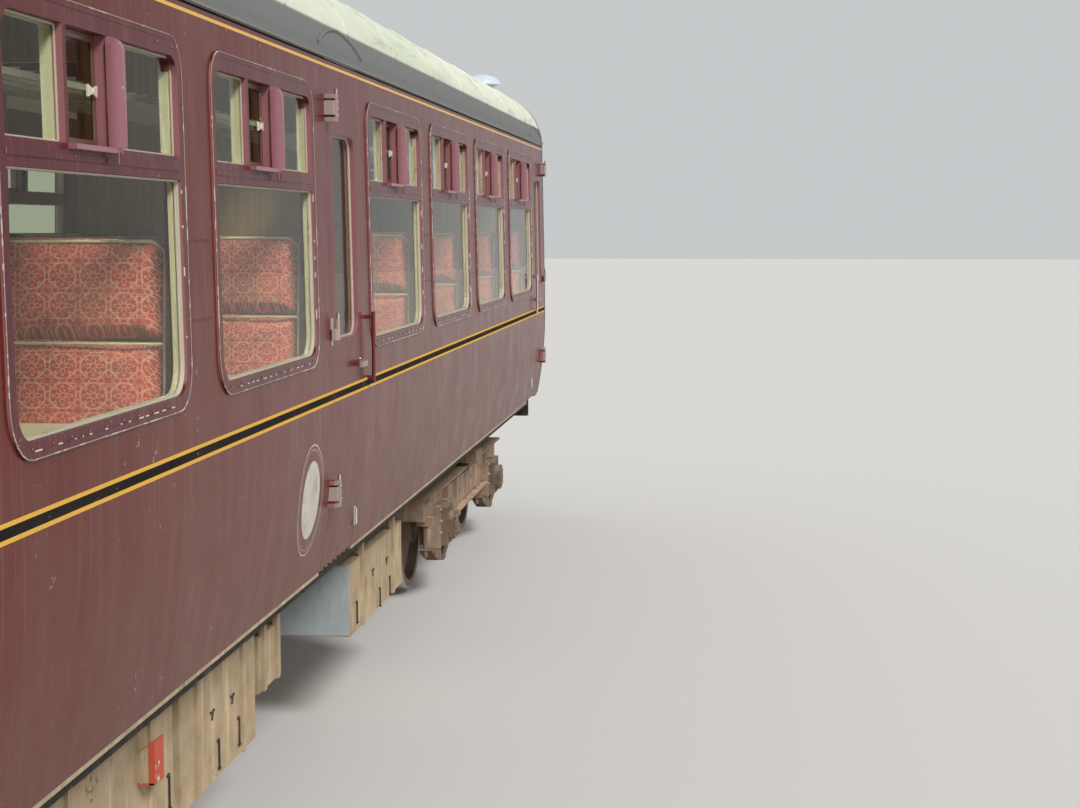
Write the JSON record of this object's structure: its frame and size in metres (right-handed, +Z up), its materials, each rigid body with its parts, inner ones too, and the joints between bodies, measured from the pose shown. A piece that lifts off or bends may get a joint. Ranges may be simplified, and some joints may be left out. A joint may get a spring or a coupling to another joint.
{
  "type": "railway passenger coach",
  "caption": "Railway passenger coach with a steel body, saloon windows, hinged side doors, pleated end gangways and two four-wheel bogies that swivel.",
  "frame": {"origin": "under the middle of the coach, at the lowest point of the wheel flanges", "axes": "+X along the coach to its front end, +Y to its left side, +Z up"},
  "size_m": [20.14, 2.819, 3.9043],
  "materials": {
    "maroon_paint": "glossy, aged, with ripples and fine dirt",
    "roof_paint": "matt pale grey, flaking and stained",
    "end_paint": "faded blue grey, satin",
    "underframe_dirt": "black paint under thick brown brake dust",
    "box_paint": "grey brown, dusty",
    "wheel_steel": "brown steel, tread worn bright",
    "window_glass": "clear, slightly green",
    "window_frame": "maroon paint, worn to pale metal on edges",
    "deflector_paint": "faded pink maroon, satin",
    "interior_lining": "varnished pale panelling",
    "floor_covering": "brown sheet flooring",
    "seat_fabric": "red and brown moquette with cream tracery",
    "seat_shell": "brown varnished wood",
    "table_top": "cream laminate with a metal edge",
    "rack_metal": "satin tube",
    "gangway_fabric": "black proofed canvas, matt",
    "bright_metal": "polished, slightly pitted",
    "vent_paint": "pale bluish white",
    "buffer_steel": "dirty, greasy head"
  },
  "bodies": {
    "coach_body": {"side_left": "maroon_paint", "window_frames_left": "window_frame", "window_glass_left": "window_glass", "air_deflectors_left": "deflector_paint", "seat_frames_left": "seat_shell", "seat_cushions_left": "seat_fabric", "side_right": "maroon_paint", "window_frames_right": "window_frame", "window_glass_right": "window_glass", "air_deflectors_right": "deflector_paint", "seat_frames_right": "seat_shell", "seat_cushions_right": "seat_fabric", "roof": "roof_paint", "floor": "floor_covering", "underframe": "underframe_dirt", "trussing": "underframe_dirt", "grab_rails": "bright_metal", "roof_ventilators": "vent_paint", "battery_boxes": "box_paint", "equipment_boxes": "box_paint", "brake_cylinders": "underframe_dirt", "partitions": "interior_lining", "lavatory_walls": "interior_lining", "tables": "table_top", "luggage_racks": "rack_metal", "end_front": "end_paint", "gangway_front": "gangway_fabric", "buffers_front": "buffer_steel", "coupler_front": "buffer_steel", "end_rear": "end_paint", "gangway_rear": "gangway_fabric", "buffers_rear": "buffer_steel", "coupler_rear": "buffer_steel"},
    "gangway_door_front": {"gangway_door_front": "interior_lining"},
    "gangway_door_rear": {"gangway_door_rear": "interior_lining"},
    "door_rear_left": {"door_rear_left": "maroon_paint", "door_glass_rear_left": "window_glass"},
    "door_centre_left": {"door_centre_left": "maroon_paint", "door_glass_centre_left": "window_glass"},
    "door_front_left": {"door_front_left": "maroon_paint", "door_glass_front_left": "window_glass"},
    "door_rear_right": {"door_rear_right": "maroon_paint", "door_glass_rear_right": "window_glass"},
    "door_centre_right": {"door_centre_right": "maroon_paint", "door_glass_centre_right": "window_glass"},
    "door_front_right": {"door_front_right": "maroon_paint", "door_glass_front_right": "window_glass"},
    "bogie_front": {"bogie_frame_front": "underframe_dirt", "bogie_springs_front": "underframe_dirt", "bogie_bolster_front": "underframe_dirt", "bogie_brakes_front": "underframe_dirt"},
    "wheelset_front_outer": {"wheelset_front_outer": "wheel_steel"},
    "wheelset_front_inner": {"wheelset_front_inner": "wheel_steel"},
    "bogie_rear": {"bogie_frame_rear": "underframe_dirt", "bogie_springs_rear": "underframe_dirt", "bogie_bolster_rear": "underframe_dirt", "bogie_brakes_rear": "underframe_dirt"},
    "wheelset_rear_outer": {"wheelset_rear_outer": "wheel_steel"},
    "wheelset_rear_inner": {"wheelset_rear_inner": "wheel_steel"}
  },
  "joints": [
    {"name": "gangway_door_front_hinge", "type": "hinge", "parent": "coach_body", "child": "gangway_door_front", "pos_m": [9.744, 0.32, 2.2], "axis": [0, 0, -1], "range_deg": [0, 88]},
    {"name": "gangway_door_rear_hinge", "type": "hinge", "parent": "coach_body", "child": "gangway_door_rear", "pos_m": [-9.744, 0.32, 2.2], "axis": [0, 0, 1], "range_deg": [0, 88]},
    {"name": "door_rear_left_hinge", "type": "hinge", "parent": "coach_body", "child": "door_rear_left", "pos_m": [-7.77, 1.3915, 2.1], "axis": [0, 0, 1], "range_deg": [0, 90]},
    {"name": "door_centre_left_hinge", "type": "hinge", "parent": "coach_body", "child": "door_centre_left", "pos_m": [1.28, 1.3915, 2.1], "axis": [0, 0, -1], "range_deg": [0, 90]},
    {"name": "door_front_left_hinge", "type": "hinge", "parent": "coach_body", "child": "door_front_left", "pos_m": [9.53, 1.3915, 2.1], "axis": [0, 0, -1], "range_deg": [0, 90]},
    {"name": "door_rear_right_hinge", "type": "hinge", "parent": "coach_body", "child": "door_rear_right", "pos_m": [-7.77, -1.3915, 2.1], "axis": [0, 0, -1], "range_deg": [0, 90]},
    {"name": "door_centre_right_hinge", "type": "hinge", "parent": "coach_body", "child": "door_centre_right", "pos_m": [0.61, -1.3915, 2.1], "axis": [0, 0, -1], "range_deg": [0, 90]},
    {"name": "door_front_right_hinge", "type": "hinge", "parent": "coach_body", "child": "door_front_right", "pos_m": [9.53, -1.3915, 2.1], "axis": [0, 0, 1], "range_deg": [0, 90]},
    {"name": "bogie_front_swivel", "type": "hinge", "parent": "coach_body", "child": "bogie_front", "pos_m": [7.0865, 0, 0.9], "axis": [0, 0, 1], "range_deg": [-5, 5]},
    {"name": "wheelset_front_outer_turn", "type": "hinge", "parent": "bogie_front", "child": "wheelset_front_outer", "pos_m": [8.382, 0, 0.4858], "axis": [0, 1, 0], "continuous": true},
    {"name": "wheelset_front_inner_turn", "type": "hinge", "parent": "bogie_front", "child": "wheelset_front_inner", "pos_m": [5.791, 0, 0.4858], "axis": [0, 1, 0], "continuous": true},
    {"name": "bogie_rear_swivel", "type": "hinge", "parent": "coach_body", "child": "bogie_rear", "pos_m": [-7.0865, 0, 0.9], "axis": [0, 0, 1], "range_deg": [-5, 5]},
    {"name": "wheelset_rear_outer_turn", "type": "hinge", "parent": "bogie_rear", "child": "wheelset_rear_outer", "pos_m": [-8.382, 0, 0.4858], "axis": [0, 1, 0], "continuous": true},
    {"name": "wheelset_rear_inner_turn", "type": "hinge", "parent": "bogie_rear", "child": "wheelset_rear_inner", "pos_m": [-5.791, 0, 0.4858], "axis": [0, 1, 0], "continuous": true}
  ]
}
